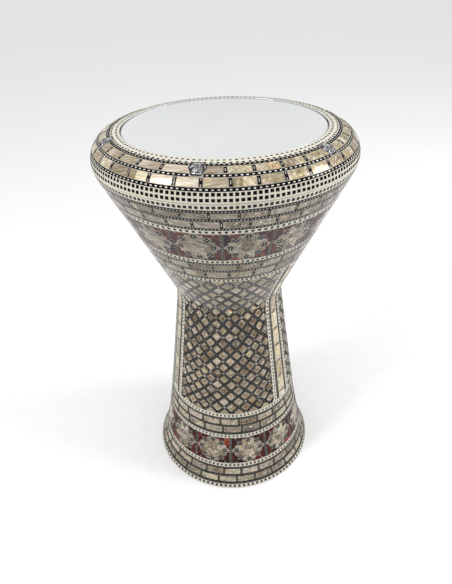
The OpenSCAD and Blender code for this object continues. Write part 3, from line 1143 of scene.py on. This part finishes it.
def lattice_panel(number):
    """Pearl diamonds between crossing dotted strips, cut off at the edges of the panel."""
    panel = Panel(number)
    upright_band(panel.filler, panel.u1, panel.u2, panel.v1, panel.v2)
    columns = ceil((panel.u2 - panel.u1) / LATTICE_U) + 1
    rows = ceil((panel.v2 - panel.v1) / LATTICE_V) + 1
    for j in range(-rows, rows + 1):
        for i in range(-columns, columns + 1):
            panel.point(i, j)
    panel.build()


def pillar_core(pearl_bar, rungs, dashes, middle, v1, v2):
    """Upright tiles of pearl, with a dotted black rung between each two."""
    count = int((v2 - v1 - RUNG_FIRST) / RUNG_PITCH) + 1
    rung_v = [v1 + RUNG_FIRST + j * RUNG_PITCH for j in range(count)]
    half = PILLAR_PEARL_A - 0.4
    for low, high in zip([v1] + rung_v, rung_v + [v2]):
        start = low + (1.7 if low > v1 else 0.3)
        end = high - (1.7 if high < v2 else 0.3)
        pearl_bar.tile(rectangle(middle - half, middle + half, start, end))
    for v in rung_v:
        rungs.tile(small_tile(SHELL, middle, v, 6.4, 2.5))
        for x in (-2.0, 0.0, 2.0):
            dashes.solid([small_tile(SHELL, middle + x / SHELL.per_degree(v), v, 0.9, 0.9)])


def upright_row(layer, u, v1, v2, pitch, first, width, height):
    for j in range(int((v2 - v1) / pitch)):
        layer.solid([small_tile(SHELL, u, v1 + first + j * pitch, width, height)])


def pillars():
    """Between the panels: pearl with black rungs, dotted strips, and cream with dots."""
    v1, v2 = SHELL.band(*node_levels("pillar_pearl"))
    filler, pearl_bar = base(SHELL), Layer(SHELL, TILE_TOP)
    strips, cream = base(SHELL, PLATE_TOP), base(SHELL)
    rungs, dashes, dots = Layer(SHELL, TILE_TOP), Layer(SHELL, DOT_TOP), Layer(SHELL, DOT_TOP)
    for k in range(PILLAR_COUNT):
        middle = PILLAR_AZ + k * PILLAR_STEP
        upright_band(filler, middle - PILLAR_PEARL_A, middle + PILLAR_PEARL_A, v1, v2)
        pillar_core(pearl_bar, rungs, dashes, middle, v1, v2)
        for side in (1, -1):
            a, b = sorted((side * PILLAR_PEARL_A, side * PILLAR_STRIP_A))
            upright_band(strips, middle + a, middle + b, v1, v2)
            c, d = sorted((side * PILLAR_STRIP_A, side * PILLAR_DOT_A))
            upright_band(cream, middle + c, middle + d, v1, v2)
            upright_row(dashes, middle + (a + b) / 2, v1, v2, *PILLAR_DASHES)
            upright_row(dots, middle + (c + d) / 2, v1, v2, *PILLAR_DOTS)
    filler.build("pillar_filler", FILLER, "pearl", "pillar_pearl")
    pearl_bar.build("pillar_pearl_bars", PEARL_RING, "pearl")
    strips.build("pillar_strips_black", BLACK, "black_strip", "pillar_strips")
    cream.build("pillar_dot_strips_cream", CREAM, "cream_celluloid", "pillar_dot_strips")
    rungs.build("pillar_rungs", BLACK, "black_strip")
    dashes.build("pillar_dashes", WHITE, "black_strip")
    dots.build("pillar_dots", BLACK, "black_strip")


# ---- CAD nodes that stay

def paint_nodes():
    """Finishes for the parts that keep their CAD shapes."""
    cast = metal("cast_aluminium_bare", (0.62, 0.62, 0.63), 0.5, 260.0, 0.5)
    polished = metal("ring_aluminium_polished", (0.95, 0.95, 0.96), 0.18, 60.0, 0.03)
    hoop = metal("hoop_aluminium_satin", (0.74, 0.74, 0.76), 0.35, 200.0, 0.2)
    steel = metal("bolt_steel_plated", (0.74, 0.74, 0.76), 0.28, 320.0, 0.05)
    zinc = metal("washer_zinc", (0.60, 0.60, 0.61), 0.38, 320.0, 0.2)
    painted = {"shell": cast, "tension_ring": polished, "head_hoop": hoop, "head_film": film_finish(),
               "bolt_frames": frame_finish()}
    for i in range(1, BOLT_COUNT + 1):
        painted[f"tuning_bolt_{i}"] = steel
        painted[f"washer_{i}"] = zinc
    for node, material in painted.items():
        for slot in NODES[node].material_slots:
            slot.material = material


# ---- stage, light and camera

# Camera: its place in metres, its tilt down, turn and roll in degrees, and its lens in millimetres
EYE = (0.0043, -0.5171, 0.5953)
AIM = (34.21, -0.95, -2.08)
LENS = 31.13


def stage():
    """A plain pale floor."""
    mesh = bpy.data.meshes.new("floor")
    half, z = 16.0, -0.0003
    corners = [(-half, -half, z), (half, -half, z), (half, half, z), (-half, half, z)]
    mesh.from_pydata(corners, [], [(0, 1, 2, 3)])
    floor = bpy.data.objects.new("floor", mesh)
    bpy.context.scene.collection.objects.link(floor)
    paper = Finish("paper", Roughness=0.9, Specular_IOR_Level=0.1)
    grain = paper.noise(paper.local(), 40.0, 4.0)
    paper.drive("Base Color", paper.ramp(grain, (0.3, grey(0.80)), (0.7, grey(0.82))))
    mesh.materials.append(paper.material)


def softbox(name, azimuth, elevation, distance, side, power):
    """A square light that looks at the ring from an azimuth and an elevation."""
    data = bpy.data.lights.new(name, "AREA")
    data.shape = "RECTANGLE"
    data.size, data.size_y = side, side
    data.energy = power
    lamp = bpy.data.objects.new(name, data)
    a, e = radians(azimuth), radians(elevation)
    direction = Vector((sin(a) * cos(e), -cos(a) * cos(e), sin(e)))
    lamp.location = Vector((0, 0, 0.35)) + direction * distance
    lamp.rotation_mode = "QUATERNION"
    lamp.rotation_quaternion = direction.to_track_quat("Z", "Y")
    bpy.context.scene.collection.objects.link(lamp)


def lights():
    softbox("key", azimuth=-57, elevation=39, distance=1.6, side=0.4, power=12)
    softbox("fill", azimuth=84, elevation=24, distance=1.9, side=0.7, power=20)


def world():
    """A white ceiling of light over a dimmer horizon."""
    sky = bpy.data.worlds.new("studio")
    sky.use_nodes = True
    nodes, links = sky.node_tree.nodes, sky.node_tree.links
    place = nodes.new("ShaderNodeTexCoord")
    split = nodes.new("ShaderNodeSeparateXYZ")
    ramp = nodes.new("ShaderNodeValToRGB")
    links.new(place.outputs["Generated"], split.inputs[0])
    links.new(split.outputs["Z"], ramp.inputs[0])
    links.new(ramp.outputs["Color"], nodes["Background"].inputs["Color"])
    for stop, (position, value) in zip(ramp.color_ramp.elements, ((0.05, 0.5), (0.55, 1.0))):
        stop.position, stop.color = position, (*grey(value), 1.0)
    nodes["Background"].inputs["Strength"].default_value = 1.0
    bpy.context.scene.world = sky


def camera():
    """The view from a little above the head, tipped down and rolled slightly."""
    data = bpy.data.cameras.new("camera")
    data.lens = LENS
    data.sensor_width = 36.0
    data.clip_start, data.clip_end = 0.01, 50.0
    eye = bpy.data.objects.new("camera", data)
    pitch, yaw, roll = (radians(a) for a in AIM)
    forward = Vector((sin(yaw) * cos(pitch), cos(yaw) * cos(pitch), -sin(pitch)))
    level = forward.cross(Vector((0, 0, 1))).normalized()
    right = level * cos(roll) + level.cross(forward) * sin(roll)
    up = right.cross(forward)
    turn = Matrix((right, up, -forward)).transposed().to_4x4()
    eye.matrix_world = Matrix.Translation(EYE) @ turn
    bpy.context.scene.collection.objects.link(eye)
    bpy.context.scene.camera = eye


random.seed(11)
build_ring()
build_bands(FOOT_BANDS, "foot", PEARL_FOOT, BLACK, ["dots"], FOOT_DASH)
build_bands(BOWL_BANDS, "bowl", PEARL_BOWL, BLACK_BOWL, ["closed", "open", "open"], BOWL_DASH)
medallion_band("foot_medallions", "star_band_foot", 12, 12.3, TORTOISE_FOOT, PEARL_FOOT, BLACK)
medallion_band("bowl_medallions", "star_band_bowl", 15, 9.7, TORTOISE_BOWL, PEARL_BOWL, BLACK_BOWL)
for number in range(1, PILLAR_COUNT + 1):
    lattice_panel(number)
pillars()
paint_nodes()
stage()
world()
lights()
camera()
bpy.context.scene.view_settings.view_transform = "Standard"
